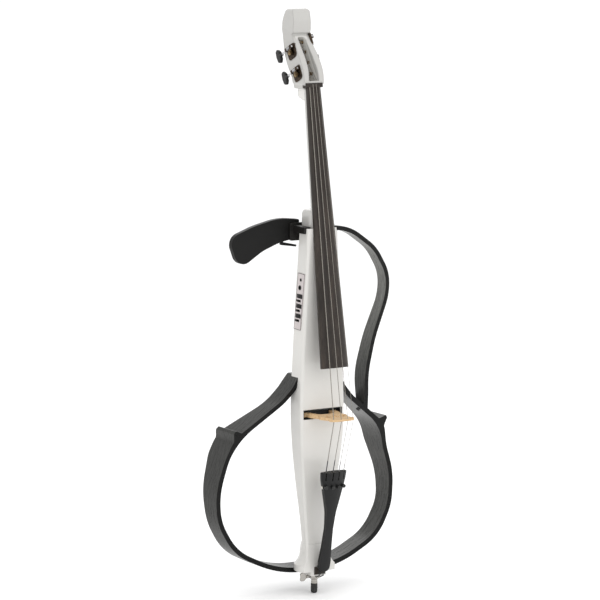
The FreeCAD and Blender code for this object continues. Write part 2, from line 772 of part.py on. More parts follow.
def machine_seats(wood):
    """The head with a seat for each plate and a bore across it for each post."""
    depth, radius = cell("post_depth"), cell("post_radius") + cell("fit")
    bore = rod((-19.6, depth, 0), (30, depth, 0), radius)
    outline = [(-1, -14, 7), (29, -14, 7), (29, 16, 4), (-1, 16, 4)]
    seat = prism("YZ", outline, 20, 60)
    for name in STRINGS:
        for tool in (bore, seat):
            placed = for_side(tool, POSTS[name][0])
            wood = wood.cut(placed.transformGeometry(machine_place(name).toMatrix()))
    return wood


# ---------------------------------------------------------------- bridge
BRIDGE_HALF = [(0, -105.6, 150), (16, -104.3, 120), (26.5, -100.2, 2.5), (29.5, -92, 4),
               (24, -83, 5), (29, -70, 8), (32.5, -60, 6), (28, -52, 5), (33, -34, 25),
               (35.5, -17, 5), (39.5, -14, 1.5), (39.5, -9, 0), (25, -9, 0), (25, -14, 2),
               (26, -24, 8), (20, -40, 12), (0, -43, 20)]
HEART = [(0, -60, 2), (8, -70, 4), (5, -80, 4), (0, -76, 1), (-5, -80, 4), (-8, -70, 4)]
KIDNEY = [(15, -62, 3), (23, -66, 3), (21, -76, 4), (14, -78, 3), (17, -70, 3)]


def bridge(string_nodes):
    """The carved bridge, thinner towards its crown, with a groove for each string."""
    low, high = "bridge_z - bridge_thick / 2", "bridge_z + bridge_thick / 2"
    blank = slab("XY", mirrored(BRIDGE_HALF), low, high)
    holes = [slab("XY", hole, "bridge_z - 20", "bridge_z + 20")
             for hole in (HEART, KIDNEY, [(-x, y, r) for x, y, r in reversed(KIDNEY)])]
    middle, half = cell("bridge_z"), cell("bridge_thick") / 2
    wedges = []
    for side in TWO_SIDES:
        outline = [(-8, middle + side * (half - 0.5), 0), (-30, middle + side * (half - 0.7), 0),
                   (-110, middle + side * 1.9, 0), (-110, middle + side * 12, 0),
                   (-8, middle + side * 12, 0)]
        wedges.append(slab("YZ", outline, "-60", "60"))
    keep(carved(blank, holes + wedges + string_nodes), "bridge")


# ---------------------------------------------------------------- tailpiece
TAIL_HALF = [(0, 1.5, 200), (31.5, 0, 2), (29.5, -16, 30), (21, -46, 60), (11, -88, 90),
             (8.8, -125, 60), (10.6, -165, 60), (13.5, -197, 20), (12.8, -219, 11.5),
             (0, -219, 0)]
TAIL_BACK = [(14, 10, 0), (14, -40, 40), (9.6, -115, 80), (9.6, -230, 0), (30, -230, 0),
             (30, 10, 0)]


def tail_x(name):
    return "%s * gap_tail" % string_place(name)


def near(middle, half):
    """The low and high expressions of a span round a middle."""
    return "%s - %s" % (middle, half), "%s + %s" % (middle, half)


def tailpiece():
    """The arched tailpiece, with a slot, a recess, a pin and a screw bore for each string."""
    blank = slab("XZ", mirrored(TAIL_HALF), "-1", "tail_thick")
    arch = bar("tail_radius", "260", ("0", "tail_radius", "-240"))
    solid = doc.addObject("Part::Common", "arched")
    solid.Base = blank
    solid.Tool = arch
    tools = [slab("YZ", TAIL_BACK, "-60", "60")]
    pins = []
    for name in STRINGS:
        x, front = tail_x(name), tail_front(name)
        tools.append(brick(near(x, "3.6"), (front + " + 3.2", "20"), ("-38", "-5")))
        tools.append(brick(near(x, "1.3"), ("-3", front + " + 6"), ("-17", "4")))
        tools.append(bar("knob_shank + fit", "20", (x, "-5", "knob_rise"), Y_AXIS))
        pins.append(bar("pin_radius", "9", (x + " - 4.5", front + " + pin_depth", "pin_rise"),
                        X_AXIS))
    for side in TWO_SIDES:
        tools.append(bar("cord_radius", "26", ("%d * cord_half" % side, "6.2", "-227")))
    keep(joined([carved(solid, tools)] + pins), "tailpiece", tail_frame)


def lever(name):
    """A fine tuner's lever: it holds the string's ball and rocks on the cross pin."""
    x, front = tail_x(name), tail_front(name)
    arm = brick(near(x, "3"), (front + " + 5", front + " + 8.2"), ("-35", "-7.5"))
    end = ball("2.3", (x, front + " + 5.7", "-10.4"))
    bore = bar("pin_radius + fit", "10", (x + " - 5", front + " + pin_depth", "pin_rise"),
               X_AXIS)
    keep(carved(joined([arm, end]), [bore]), "fine_tuner_lever_" + name, tail_frame)


def tuner_screw(name):
    """A fine tuner's knurled thumb screw, whose tip rests just short of the lever."""
    spot = Placement(Vector(value(tail_x(name)), value(tail_front(name)), cell("knob_rise")),
                     Rotation())
    body = new_body("fine_tuner_screw_" + name, tail_frame.multiply(spot))
    head = draw(body, "XZ", [(add_circle, "0", "0", "knob_radius")], "1.6")
    sweep("Pad", body, head, "knob_tall")
    groove = draw(body, "XZ", [(add_circle, "knob_radius + 0.2", "0", "0.5")])
    ring_of(body, sweep("Pocket", body, groove, "20", both=True), groove, "12")
    shank = draw(body, "XZ", [(add_circle, "0", "0", "knob_shank")], "-4.9")
    sweep("Pad", body, shank, "8")


def tail_cord_shape():
    """Two runs of tail cord, from the tailpiece over the saddle to the endpin's collar."""
    runs = []
    for side in TWO_SIDES:
        x = side * cell("cord_half")
        start = tail_frame.multVec(Vector(x, 6.2, -202))
        bend = tail_frame.multVec(Vector(x, 6.2, -224))
        points = [start, bend, Vector(x, -25.8, 56), Vector(x, -25.8, 42),
                  Vector(x, -14.6, cell("clamp_z"))]
        runs.append(cord(points, cell("cord_radius")))
    return Part.makeCompound(runs)


# ---------------------------------------------------------------- endpin
def endpin_socket():
    """The socket that holds the endpin, with its flange and the clamp screw's bore."""
    plug = bar("9", "78 - tongue_z", ("0", "0", "tongue_z"))
    flange = bar("collar_radius", "tongue_z - collar_z", ("0", "0", "collar_z"))
    flange = smoothed(flange, "1.5", lambda e: e.Vertexes[0].Z < cell("collar_z") + 1)
    hub = bar("8.2", "3.5", ("0", "0", "collar_z - 2.5"))
    bore = bar("rod_radius + fit", "80", ("0", "0", "20"))
    thread = bar("clamp_radius + fit", "15", ("-20", "0", "clamp_z"), X_AXIS)
    keep(carved(joined([plug, flange, hub]), [bore, thread]), "endpin_socket")


def endpin_screw():
    """The wing screw that clamps the rod from the bass side."""
    spot = Placement(Vector(0, 0, cell("clamp_z")), Rotation())
    body = new_body("endpin_screw", spot)
    half = [(-19.8, 3.4, 1), (-26, 9, 4), (-36.5, 8.5, 4), (-34.5, 0, 12)]
    outline = half + [(x, -z, r) for x, z, r in reversed(half[:3])]
    sweep("Pad", body, draw(body, "XZ", [outline]), "3", both=True)
    round_off(body, "0.9", lambda e: not along(e, Y_AXIS, 0.9))
    boss = draw(body, "YZ", [(add_circle, "0", "0", "3.7")], "-21")
    sweep("Pad", body, boss, "6.8")
    shank = draw(body, "YZ", [(add_circle, "0", "0", "clamp_radius")], "-17")
    sweep("Pad", body, shank, "11.7")


def endpin_rod():
    """The sliding rod, with the grooved ferrule above its rubber tip."""
    start, foot_z = "8", "tip_tall"
    body = new_body("endpin_rod")
    rod_end = draw(body, "XY", [(add_circle, "0", "0", "rod_radius")], start)
    sweep("Pad", body, rod_end, "rod_length + 6")
    ferrule = draw(body, "XY", [(add_circle, "0", "0", "tip_radius - 0.4")], foot_z)
    sweep("Pad", body, ferrule, "8.6")
    groove = [(add_circle, "0", "0", "tip_radius + 1"), (add_circle, "0", "0", "6")]
    sweep("Pocket", body, draw(body, "XY", groove, "tip_tall + 3"), "1", back=True)
    round_off(body, "0.8", lambda e: e.Vertexes[0].Z > 300)


def endpin_tip():
    """The rubber tip, rounded at the floor."""
    body = new_body("endpin_tip")
    outside = draw(body, "XY", [(add_circle, "0", "0", "tip_radius")])
    sweep("Pad", body, outside, "tip_tall")
    round_off(body, "5", lambda e: e.Vertexes[0].Z < 1)
    bore = draw(body, "XY", [(add_circle, "0", "0", "rod_radius")], "8")
    sweep("Pocket", body, bore, "tip_tall", back=True)


# ---------------------------------------------------------------- folding arm
ARM_OUTLINE = [(-22, 784, 4), (-72, 789, 200), (-132, 775, 200), (-193, 753, 24),
               (-168, 687, 23), (-112, 722, 90), (-70, 738, 150), (-24, 746, 4)]


def left_arm():
    """The folding knee rest on the bass side."""
    body = new_body("left_arm")
    # the XZ plane looks forward, so a pad sent back against it runs to the rear
    outline = draw(body, "XZ", [ARM_OUTLINE], "-arm_front")
    sweep("Pad", body, outline, "arm_thick", back=True)
    round_off(body, "1.8", lambda e: not along(e, Y_AXIS, 0.9))
    bore = draw(body, "XZ", [(add_circle, "pivot_x", "pivot_z", "pivot_radius + fit")])
    sweep("Pocket", body, bore, "200", both=True)


def arm_stay(arm):
    """The thin bar clipped under the arm's root."""
    outline = [(-66, 739, 1), (-64, 732, 1), (-28, 727, 1), (-27, 731, 1), (-60, 738, 0)]
    stay = slab("XZ", outline, "arm_front + 3", "arm_front + 8")
    hook = brick(("-66", "-60"), ("arm_front + 3", "arm_front + 8"), ("733", "744"))
    keep(carved(joined([stay, hook]), [arm]), "arm_stay")


def arm_bracket(neighbours):
    """A folded plate over the body's top corner, with the arm's pivot pin behind."""
    top = brick(("-36.5", "-27.4"), ("-12", "arm_front - 1"), ("770", "773"))
    outline = [(-48, 741, 3), (-14, 741, 3), (-14, 778, 3), (-48, 778, 3)]
    back = slab("XZ", outline, "32.3", "arm_front - 0.4")
    side = brick(("-41.8", "-36.6"), ("-10", "arm_front - 1"), ("759", "773"))
    pin = bar("pivot_radius", "arm_thick + 5", ("pivot_x", "arm_front - 3", "pivot_z"), Y_AXIS)
    cap = bar("8.5", "2.4", ("pivot_x", "arm_front + arm_thick + 0.6", "pivot_z"), Y_AXIS)
    keep(carved(joined([top, back, side, pin, cap]), neighbours), "arm_bracket")


# ---------------------------------------------------------------- controls
# the panel's own frame lies on the bass side: -X points out, +Y back, +Z up the side
PANEL_TURN = Rotation(Y_AXIS, cell("side_lean")).multiply(Rotation(X_AXIS, cell("panel_slant")))
PANEL_X = -(BODY_LEVELS[0][1] + (BODY_LEVELS[0][0] - cell("panel_z"))
            * math.tan(math.radians(cell("side_lean"))))
panel_frame = Placement(Vector(PANEL_X - 0.05, cell("panel_y"), cell("panel_z")), PANEL_TURN)
WHEELS = {"volume": "wheel_top", "treble": "wheel_top - wheel_pitch",
          "bass": "wheel_top - 2 * wheel_pitch"}
SWITCHES = {"power": "switch_top", "reverb": "switch_top - wheel_pitch",
            "aux": "switch_top - 2 * wheel_pitch"}
# height up the panel, place across it, bore radius, outside radius and bore depth
JACKS = {"phones": (45, 0, 1.75, 3.2, 14), "line": (28.5, 1.5, 3.2, 5, 16)}


def control_panel():
    """The plate on the bass side, with openings for the wheels, switches and jacks."""
    body = new_body("control_panel", panel_frame)
    outside = (add_rectangle, "-panel_half_wide", "panel_half_wide", "-panel_half_tall",
               "panel_half_tall")
    sweep("Pad", body, draw(body, "YZ", [outside]), "panel_thick", back=True)
    round_off(body, "2.5", lambda e: along(e, X_AXIS))
    openings = []
    for level in WHEELS.values():
        reach = "wheel_thick / 2 + 0.5"
        openings.append((add_rectangle, "-10.2", "10.2", "%s - (%s)" % (level, reach),
                         "%s + %s" % (level, reach)))
    for level, place, bore, outer, deep in JACKS.values():
        openings.append((add_circle, place, level, outer))
    sweep("Pocket", body, draw(body, "YZ", openings), "20", both=True)
    slots = [(add_rectangle, "-5.5", "10.9", "%s - switch_half - 0.2" % level,
              "%s + switch_half + 0.2" % level) for level in SWITCHES.values()]
    sweep("Pocket", body, draw(body, "YZ", slots), "20", both=True)


def wheel(name, level):
    """A ribbed edge wheel on the controls' axle."""
    spot = Placement(Vector(cell("wheel_x"), 0, value(level)), Rotation())
    body = new_body(name + "_wheel", panel_frame.multiply(spot))
    disc = draw(body, "XY", [(add_circle, "0", "0", "wheel_radius")])
    sweep("Pad", body, disc, "wheel_thick", both=True)
    round_off(body, "0.6", lambda e: True)
    rib = draw(body, "XY", [(add_circle, "wheel_radius + 0.2", "0", "0.65")])
    ring_of(body, sweep("Pocket", body, rib, "20", both=True), rib, "24")
    bore = draw(body, "XY", [(add_circle, "0", "0", "axle_radius + fit")])
    sweep("Pocket", body, bore, "20", both=True)


def switch(name, level):
    """A slide switch: a knob through the panel on a shoe behind it."""
    tall = near(level, "switch_half")
    knob = brick(("-4", "0.4"), ("0.5", "5.5"), tall)
    knob = smoothed(knob, "0.5", lambda e: all(v.X < -3.9 for v in e.Vertexes))
    shoe = brick(("0.4", "2.2"), ("-3", "7.2"), tall)
    keep(joined([knob, shoe]), name + "_switch", panel_frame)


def circuit_board():
    """The circuit board, with the wheels' axle in two lugs and four stand-offs."""
    pieces = [brick(("board_x", "board_x + board_thick"), ("-10", "10"), ("-57", "56")),
              bar("axle_radius", "57", ("wheel_x", "0", "-38"))]
    for low in (17.5, -38.5):
        pieces.append(brick(("wheel_x - 2.5", "board_x"), ("-3", "3"), (low, low + 2)))
    for place in (-7, 7):
        for level in (-53, 52):
            pieces.append(bar("2", "board_x", ("0", place, level), X_AXIS))
    keep(joined(pieces), "circuit_board", panel_frame)


def jacks():
    """The two jack sockets, open towards the player."""
    tubes = []
    for level, place, bore, outer, deep in JACKS.values():
        tube = bar(outer, deep + 2.6, ("-2.1", place, level), X_AXIS)
        hole = bar(bore, deep + 0.9, ("-3", place, level), X_AXIS)
        tubes.append(carved(tube, [hole]))
    keep(group(tubes), "jacks", panel_frame)


# ---------------------------------------------------------------- back cover and battery bay
COVER_OUTLINE = [(-20, 282, 8), (20, 282, 8), (24, 690, 8), (-24, 690, 8)]
COVER_START = 25


def hinge_rod(reach, radius, start=0.0):
    """A bar along the door's hinge, between two distances from the middle."""
    y, z = cell("hinge_y"), cell("hinge_z")
    return rod((start, y, z), (reach, y, z), radius)


def cover_shape(walls):
    """The back cover with its battery bay and the two stubs of the door's hinge."""
    half, low, high = (cell("door_" + k) for k in ("half", "low", "high"))
    cover = walls.common(prism("XZ", COVER_OUTLINE, COVER_START, 60))
    bay = block(-19, 19, 6, COVER_START, low + 3, high - 3)
    cover = cover.fuse(bay)
    mouth = block(-17.4, 17.4, 7.6, 60, low + 4.6, high - 4.6)
    doorway = block(-half, half, COVER_START + 2.9, 60, low, high)
    cover = cover.cut([mouth, doorway, hinge_rod(half, 2.6, -half)])
    return cover.fuse([hinge_rod(s * (half - 4), 1, s * (half + 1)) for s in TWO_SIDES])


def door_shape(walls):
    """The battery door, with the barrel that turns on the cover's stubs."""
    gap = 0.35
    half, high = cell("door_half"), cell("door_high")
    door = walls.common(block(gap - half, half - gap, COVER_START + 3.2, 60,
                              cell("hinge_z"), high - gap))
    barrel = hinge_rod(half - gap, 2.1, gap - half)
    return door.fuse(barrel).cut(hinge_rod(half, 1 + cell("fit"), -half))


def batteries():
    keep(group([bar("cell_radius", "cell_tall", (x, "15.5", "door_low + 6")) for x in (-8, 8)]),
         "batteries")


# ---------------------------------------------------------------- screws and saddle
SCREW_SPOTS = [(125, 17), (132, 31)]


def rim_screws():
    """Two screws from the treble arm of the lower rim into the end of the upper rim."""
    normal = Vector(73, 0, 99)
    normal.normalize()
    screws = []
    for x, y in SCREW_SPOTS:
        outer = Vector(x, y, 341 + (187 - x) * 73 / 99)
        inner = outer - normal * cell("rim_thick")
        start = inner - normal * 1.6
        screws.append(joined([bar("screw_radius", "rim_thick + 3", inner, normal),
                              bar("screw_radius + 1.8", "2.8", start, normal)]))
    return keep(group(screws), "rim_screws")


def saddle():
    outline = [(-24.5, 60, 3), (-14, 60, 0), (-14, 44, 0), (-21, 44, 1)]
    return keep(slab("YZ", outline, "-saddle_half", "saddle_half"), "saddle")


# ---------------------------------------------------------------- assembly
def in_panel(x, y, z):
    """A box in the panel's frame, moved into the object."""
    return block(*x, *y, *z).transformGeometry(panel_frame.toMatrix())


def shell_tools():
    """Everything that the body's shell is cut by, apart from its neighbours."""
    level, half, tall = cell("slot_z"), cell("slot_half"), cell("slot_tall")
    wide, long = cell("panel_half_wide") + 0.2, cell("panel_half_tall") + 0.2
    return [block(-half, half, -40, cell("slot_floor"), level - tall, level + tall),
            prism("XZ", COVER_OUTLINE, COVER_START, 60),
            block(-19.2, 19.2, 5.8, 40, cell("door_low") + 2.8, cell("door_high") - 2.8),
            rod((0, 0, 20), (0, 0, 300), 6.5), rod((0, 0, 20), (0, 0, 78), 9),
            rod((0, 0, 250), (0, 0, 350), 6.5),
            in_panel((-3, 12), (-11, 11.4), (2.7 - long, long - 3.7)),
            in_panel((-3, 0), (-wide, wide), (-long, long))]


def body_shell_shape(walls):
    level, half = cell("slot_z"), cell("slot_half")
    bridge_block = block(-half, half, cell("slot_floor"), 24, level - 20, level + 20)
    shell = walls.cut(body_hollow())
    return shell.fuse([bridge_block.common(walls), foot()]).cut(shell_tools())


def largest(shape):
    """The main solid, without the slivers that a cut can leave beside it."""
    return max(shape.Solids, key=lambda solid: solid.Volume)


def nut_and_strings():
    """The strings, and the nut with a groove for each of them."""
    made = [feature("string_" + name, cord(string_points(name), STRING_RADIUS[name]))
            for name in STRINGS]
    blank = brick(("-nut_half", "nut_half"), ("-0.4", "nut_deep"), (NUT_LOW, "nut_tall"))
    blank = smoothed(blank, "1.5", lambda e: along(e, X_AXIS) and e.Vertexes[0].Y < 5)
    blank.Placement = neck_frame
    nut = keep(carved(blank, made), "nut")
    doc.recompute()
    return made, nut


def build():
    """Every sub-part in turn; neighbours are cut so that they meet face to face."""
    walls = body_outer()
    string_nodes, nut = nut_and_strings()
    saddle_node, screws = saddle(), rim_screws()
    doc.recompute()
    board = board_shape().transformGeometry(neck_frame.toMatrix())
    wood = machine_seats(neck_head_shape(board))
    wood = wood.cut([nut.Shape] + [string.Shape for string in string_nodes])
    lower = lower_rim_shape()
    under_foot = lower.common(block(-60, 60, -40, 110, 30, 112))
    shell = body_shell_shape(walls).cut([saddle_node.Shape, under_foot, wood, board])
    head_node = feature("neck_head", wood)
    shell_node = feature("body_shell", largest(shell))
    feature("fingerboard", board)
    feature("body_back", cover_shape(walls))
    feature("battery_door", door_shape(walls))
    feature("lower_rim", lower.cut([walls, screws.Shape]))
    feature("upper_rim", upper_rim_shape().cut([walls, screws.Shape]))
    batteries()
    tuning_machines()
    bridge(string_nodes)
    slot = ("bridge_z - 6", "bridge_z + 6")
    keep(brick(("-pickup_half", "pickup_half"), ("slot_floor - 4", "slot_floor"), slot),
         "piezo_pickup")
    tailpiece()
    for name in STRINGS:
        lever(name)
        tuner_screw(name)
    feature("tail_cord", tail_cord_shape())
    endpin_socket()
    endpin_screw()
    endpin_rod()
    endpin_tip()
    left_arm()
    arm_stay(nodes[-1])
    arm_bracket([shell_node, head_node])
    control_panel()
    for name, level in WHEELS.items():
        wheel(name, level)
    for name, level in SWITCHES.items():
        switch(name, level)
    circuit_board()
    jacks()


build()
doc.recompute()
for obj in doc.Objects:
    if "Invalid" in obj.State or "Error" in obj.State:
        raise RuntimeError(obj.Label + " failed: " + str(obj.State))
os.makedirs("parts", exist_ok=True)
for obj in nodes:
    shape = obj.Shape
    if shape.isNull() or not shape.isValid():
        raise RuntimeError(obj.Label + " has no valid shape")
    print("%-22s solids %d  volume %9.1f" % (obj.Label, len(shape.Solids), shape.Volume))
for obj in nodes:
    obj.Shape.exportStep("parts/%s.step" % obj.Label)
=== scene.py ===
"""An electric cello's looks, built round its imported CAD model. Units are metres, +Z up."""
import bpy
import bmesh
import json
import math
from mathutils import Matrix, Vector


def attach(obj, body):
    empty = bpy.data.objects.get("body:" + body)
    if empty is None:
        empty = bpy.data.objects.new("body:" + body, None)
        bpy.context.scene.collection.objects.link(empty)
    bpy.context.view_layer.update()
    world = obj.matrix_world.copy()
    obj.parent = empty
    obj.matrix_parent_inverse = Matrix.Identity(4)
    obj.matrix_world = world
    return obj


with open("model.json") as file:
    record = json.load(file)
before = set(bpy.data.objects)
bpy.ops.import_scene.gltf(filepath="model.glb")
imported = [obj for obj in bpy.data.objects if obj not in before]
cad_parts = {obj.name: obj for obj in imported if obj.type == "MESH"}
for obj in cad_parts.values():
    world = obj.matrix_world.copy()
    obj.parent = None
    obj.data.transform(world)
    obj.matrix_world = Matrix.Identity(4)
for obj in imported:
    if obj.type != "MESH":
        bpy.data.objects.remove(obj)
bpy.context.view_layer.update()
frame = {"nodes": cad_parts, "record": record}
nodes = frame["nodes"]
STRINGS = ["c", "g", "d", "a"]
MM = 0.001
# the pegbox's place in millimetres, and the leans of pegbox, neck and tailpiece in degrees
PEG_PLACE = (0, 24, 1066)
PEG_LEAN, NECK_LEAN, TAIL_LEAN = -28, -10.4, 10.5
PEGBOX_HALF, PEGBOX_TOP = 0.0135, 0.104


# ---------------------------------------------------------------- material tools
class Nodes:
    """A short way to write a node material around one Principled shader."""

    def __init__(self, name, **sockets):
        self.material = bpy.data.materials.new(name)
        self.material.use_nodes = True
        self.tree = self.material.node_tree
        self.shader = self.tree.nodes["Principled BSDF"]
        self.place = self.add("ShaderNodeTexCoord").outputs["Object"]
        for socket, value in sockets.items():
            self.shader.inputs[socket.replace("_", " ")].default_value = value

    def add(self, kind, inputs=None, **settings):
        node = self.tree.nodes.new(kind)
        for name, value in settings.items():
            setattr(node, name, value)
        for name, value in (inputs or {}).items():
            self.feed(node.inputs[name], value)
        return node

    def feed(self, socket, value):
        if isinstance(value, bpy.types.NodeSocket):
            self.tree.links.new(value, socket)
        else:
            socket.default_value = value

    def stretched(self, scale, turn=(0, 0, 0)):
        """The object's own coordinates, scaled apart along each axis."""
        mapping = self.add("ShaderNodeMapping", {"Vector": self.place})
        mapping.inputs["Scale"].default_value = scale
        mapping.inputs["Rotation"].default_value = turn
        return mapping.outputs["Vector"]

    def noise(self, scale, detail=4.0, where=None, rough=0.5, distortion=0.0):
        node = self.add("ShaderNodeTexNoise", {"Scale": scale, "Detail": detail,
                                               "Roughness": rough, "Distortion": distortion,
                                               "Vector": where or self.place})
        return node.outputs["Fac"]

    def ramp(self, value, stops):
        """A colour ramp; stops are (position, grey or colour)."""
        node = self.add("ShaderNodeValToRGB", {"Fac": value})
        band = node.color_ramp
        while len(band.elements) < len(stops):
            band.elements.new(0.5)
        for element, (position, colour) in zip(band.elements, stops):
            element.position = position
            rgb = (colour,) * 3 if isinstance(colour, (int, float)) else colour
            element.color = (*rgb, 1)
        return node.outputs["Color"]

    def spread(self, value, low, high, start=0.0, end=1.0):
        node = self.add("ShaderNodeMapRange", {"Value": value, "From Min": start,
                                               "From Max": end, "To Min": low, "To Max": high})
        return node.outputs["Result"]

    def math(self, operation, a, b=0.0):
        node = self.add("ShaderNodeMath", operation=operation)
        self.feed(node.inputs[0], a)
        self.feed(node.inputs[1], b)
        return node.outputs["Value"]

    def mix(self, share, a, b, blend="MIX"):
        node = self.add("ShaderNodeMix", data_type="RGBA", blend_type=blend)
        self.feed(node.inputs["Factor"], share)
        self.feed(node.inputs["A"], a)
        self.feed(node.inputs["B"], b)
        return node.outputs["Result"]

    def edges(self, radius):
        """1 on sharp outer edges and corners, 0 on flat stretches."""
        bevel = self.add("ShaderNodeBevel", {"Radius": radius}, samples=6)
        normal = self.add("ShaderNodeNewGeometry").outputs["Normal"]
        dot = self.add("ShaderNodeVectorMath", operation="DOT_PRODUCT")
        self.feed(dot.inputs[0], bevel.outputs["Normal"])
        self.feed(dot.inputs[1], normal)
        return self.spread(dot.outputs["Value"], 1.0, 0.0, 0.72, 0.99)

    def bump(self, height, strength, distance=0.0002, normal=None):
        inputs = {"Height": height, "Strength": strength, "Distance": distance}
        node = self.add("ShaderNodeBump", inputs)
        if normal is not None:
            self.feed(node.inputs["Normal"], normal)
        return node.outputs["Normal"]

    def rounded_edges(self, radius):
        return self.add("ShaderNodeBevel", {"Radius": radius}, samples=6).outputs["Normal"]

    def set(self, **sockets):
        for socket, value in sockets.items():
            self.feed(self.shader.inputs[socket.replace("_", " ")], value)
        return self.material


def rgb(r, g, b):
    return (r, g, b, 1)


# ---------------------------------------------------------------- materials
def pegbox_painted_light(m, colour):
    """A paler colour inside the pegbox: painted light, which stands in for light between the
    cheeks.
    """
    inside = m.add("ShaderNodeMapping", {"Vector": m.place}, vector_type="TEXTURE")
    inside.inputs["Location"].default_value = Vector(PEG_PLACE) * MM
    inside.inputs["Rotation"].default_value = (math.radians(PEG_LEAN), 0, 0)
    spot = m.add("ShaderNodeSeparateXYZ", {"Vector": inside.outputs["Vector"]})
    off_centre = m.math("ABSOLUTE", spot.outputs["X"])
    between = m.spread(off_centre, 1.0, 0.0, PEGBOX_HALF, PEGBOX_HALF + MM)
    under = m.spread(spot.outputs["Y"], 0.0, 1.0, 0.0008, 0.0030)
    below = m.spread(spot.outputs["Z"], 1.0, 0.0, PEGBOX_TOP, PEGBOX_TOP + 4 * MM)
    share = m.math("MULTIPLY", m.math("MULTIPLY", between, under), below)
    # painted light: the pale colour mixed in between the cheeks
    return m.mix(share, colour, rgb(0.72, 0.71, 0.68))


def pearl_white(name, tone, soft, pegbox=False):
    """Gloss pearl lacquer: fine flakes under a clear coat, a little warmer in random clouds, with
    painted light inside the pegbox when pegbox is set.
    """
    m = Nodes(name, Metallic=0.0, Coat_Weight=0.5, Coat_Roughness=0.10,
              Specular_IOR_Level=0.4)
    flakes = m.add("ShaderNodeTexVoronoi", {"Scale": 2600.0, "Vector": m.place})
    sparkle = m.spread(flakes.outputs["Distance"], 0.0, 1.0, 0.1, 0.9)
    cloud = m.noise(9.0, 3.0)
    base = m.mix(m.spread(cloud, 0.0, 1.0, 0.3, 0.7), rgb(tone, tone * 0.98, tone * 0.93),
                 rgb(tone * 1.07, tone * 1.05, tone * 1.00))
    colour = m.mix(m.spread(sparkle, 0.0, 0.16), base, rgb(0.72, 0.71, 0.71))
    # painted light inside the pegbox, standing in for light between the cheeks
    if pegbox:
        colour = pegbox_painted_light(m, colour)
    rough = m.spread(m.noise(60.0, 3.0), 0.20, 0.30)
    orange_peel = m.noise(420.0, 2.0)
    return m.set(Base_Color=colour, Roughness=rough,
                 Normal=m.bump(orange_peel, 0.05, 0.0002, m.rounded_edges(soft)))


def rim_black():
    """Charcoal over a grain that runs round the rim, with painted shade that makes the front faces
    near-black and painted highlights on the sharp edges.

    It is lighter to the treble side and higher up, which stands in for how the rim is lit.
    """
    m = Nodes("rim_black", Specular_IOR_Level=0.13)
    streaks = m.noise(26.0, 8.0, m.stretched((1.4, 14.0, 1.4)), 0.62, 0.4)
    fine = m.noise(160.0, 5.0, m.stretched((1.0, 9.0, 1.0)), 0.6)
    both = m.mix(0.45, streaks, fine)
    colour = m.ramp(both, [(0.34, (0.021, 0.021, 0.020)), (0.50, (0.037, 0.037, 0.035)),
                           (0.66, (0.058, 0.058, 0.054))])
    where = m.add("ShaderNodeSeparateXYZ", {"Vector": m.place})
    # painted light: the rim is made lighter to the treble side and higher up, standing in for how
    # it is lit
    painted_side_light = m.spread(where.outputs["X"], 1.05, 1.55, -0.08, 0.16)
    painted_height_light = m.spread(where.outputs["Z"], 0.95, 2.5, 0.44, 0.62)
    colour = m.mix(1.0, colour, m.math("MULTIPLY", painted_side_light, painted_height_light), "MULTIPLY")
    normal = m.add("ShaderNodeNewGeometry").outputs["Normal"]
    turned = m.add("ShaderNodeSeparateXYZ", {"Vector": normal})
    # painted shade: faces turned to the front are made near-black
    painted_front_shade = m.spread(turned.outputs["Y"], 1.0, 0.0, -0.95, -0.7)
    colour = m.mix(m.math("MULTIPLY", painted_front_shade, 0.95), colour, rgb(0.004, 0.004, 0.004))
    # painted highlight: the sharp edges are made lighter
    painted_edge_highlight = m.mix(m.math("MULTIPLY", m.edges(0.0012), 0.3), colour, rgb(0.07, 0.07, 0.067))
    rough = m.spread(both, 0.22, 0.36, 0.3, 0.7)
    return m.set(Base_Color=painted_edge_highlight, Roughness=rough,
                 Normal=m.bump(both, 0.12, 0.0003, m.rounded_edges(0.0012)))


def arm_black():
    """Satin moulded shell with fine pores and painted highlights on its edges."""
    m = Nodes("arm_black", Specular_IOR_Level=0.18)
    pores = m.noise(900.0, 3.0)
    cloud = m.noise(14.0, 4.0)
    colour = m.ramp(cloud, [(0.3, (0.003, 0.003, 0.0029)), (0.7, (0.006, 0.0059, 0.0057))])
    # painted highlight: the sharp edges are made lighter
    painted_edge_highlight = m.mix(m.math("MULTIPLY", m.edges(0.0015), 0.4), colour, rgb(0.10, 0.098, 0.095))
    return m.set(Base_Color=painted_edge_highlight, Roughness=m.spread(cloud, 0.40, 0.5),
                 Normal=m.bump(pores, 0.12, 0.0001, m.rounded_edges(0.001)))


def ebony():
    """Oiled dark wood with long straight grain up the board, and short open pores."""
    m = Nodes("ebony", Specular_IOR_Level=0.24)
    lean = (math.radians(10), 0, 0)
    grain = m.noise(120.0, 8.0, m.stretched((1.0, 1.0, 0.035), lean), 0.68, 0.3)
    bands = m.noise(34.0, 3.0, m.stretched((1.0, 1.0, 0.03), lean), 0.5, 0.6)
    pores = m.noise(700.0, 2.0, m.stretched((1.0, 1.0, 0.03), lean), 0.5)
    both = m.mix(0.5, grain, bands)
    colour = m.ramp(both, [(0.34, (0.015, 0.0115, 0.009)), (0.5, (0.030, 0.0235, 0.019)),
                           (0.66, (0.058, 0.044, 0.035))])
    pits = m.spread(pores, 0.0, 1.0, 0.36, 0.5)
    colour = m.mix(m.spread(pits, 0.55, 0.0), colour, rgb(0.012, 0.010, 0.009))
    return m.set(Base_Color=colour, Roughness=m.spread(grain, 0.30, 0.46),
                 Normal=m.bump(pits, 0.18, 0.00012, m.rounded_edges(0.0005)))


